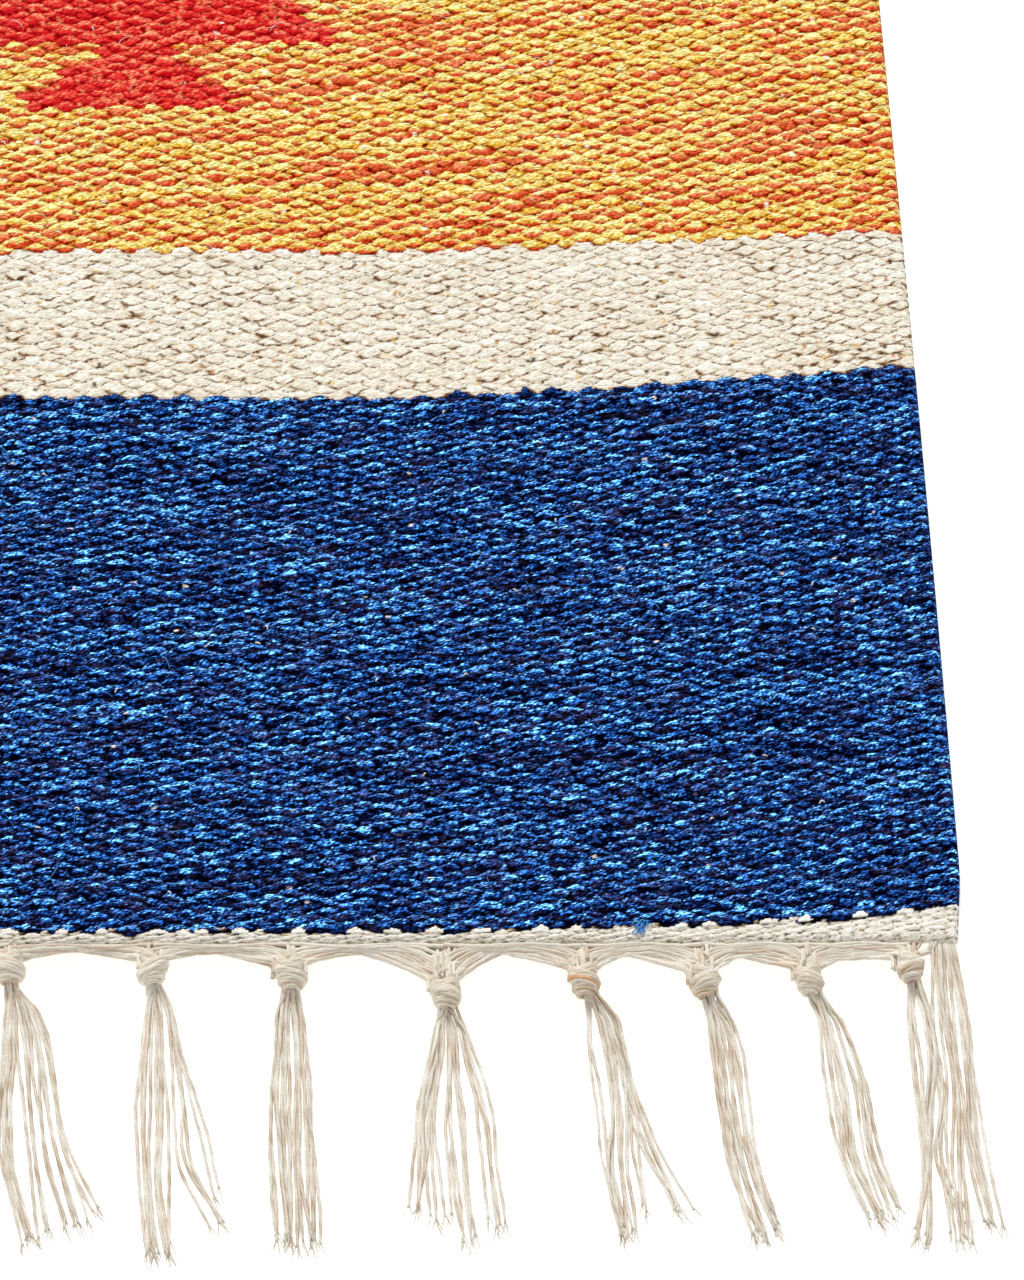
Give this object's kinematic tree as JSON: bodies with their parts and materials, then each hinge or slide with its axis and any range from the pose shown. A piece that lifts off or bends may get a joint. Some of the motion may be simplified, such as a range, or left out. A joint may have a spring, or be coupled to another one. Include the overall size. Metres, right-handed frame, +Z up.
{
  "type": "runner rug",
  "caption": "Long flat-woven cotton runner with blue and cream end bands, a gold field with stepped red motifs, and knotted cream fringes.",
  "frame": {"origin": "middle of the rug, on the surface that it lies on", "axes": "+Z up, +Y along the rug's length towards its back end, +X across its width"},
  "size_m": [0.6098, 2.04, 0.013],
  "materials": {
    "blue_weft": "marled navy and bright blue cotton weft",
    "cream_weft": "undyed recycled cotton weft with dark flecks",
    "gold_weft": "mustard yarn marled with coral cotton weft",
    "red_weft": "red cotton weft with an orange marl",
    "heading_cord": "plied cream cotton cord",
    "warp_cord": "plied natural cotton cord",
    "fringe_cord": "plied natural cotton cord, knotted"
  },
  "bodies": {
    "root": {"warp_cords": "warp_cord", "warp_web_front": "fringe_cord", "warp_web_back": "fringe_cord", "heading_front": "heading_cord", "heading_back": "heading_cord", "blue_band_front": "blue_weft", "blue_band_back": "blue_weft", "cream_band_front": "cream_weft", "cream_band_back": "cream_weft", "gold_field": "gold_weft", "red_motif_front_outer": "red_weft", "red_motif_front_inner": "red_weft", "red_motif_middle": "red_weft", "red_motif_back_inner": "red_weft", "red_motif_back_outer": "red_weft", "tassel_front_01": "fringe_cord", "tassel_front_02": "fringe_cord", "tassel_front_03": "fringe_cord", "tassel_front_04": "fringe_cord", "tassel_front_05": "fringe_cord", "tassel_front_06": "fringe_cord", "tassel_front_07": "fringe_cord", "tassel_front_08": "fringe_cord", "tassel_front_09": "fringe_cord", "tassel_front_10": "fringe_cord", "tassel_front_11": "fringe_cord", "tassel_front_12": "fringe_cord", "tassel_front_13": "fringe_cord", "loose_ends_front": "fringe_cord", "tassel_back_01": "fringe_cord", "tassel_back_02": "fringe_cord", "tassel_back_03": "fringe_cord", "tassel_back_04": "fringe_cord", "tassel_back_05": "fringe_cord", "tassel_back_06": "fringe_cord", "tassel_back_07": "fringe_cord", "tassel_back_08": "fringe_cord", "tassel_back_09": "fringe_cord", "tassel_back_10": "fringe_cord", "tassel_back_11": "fringe_cord", "tassel_back_12": "fringe_cord", "tassel_back_13": "fringe_cord", "loose_ends_back": "fringe_cord"}
  },
  "joints": []
}
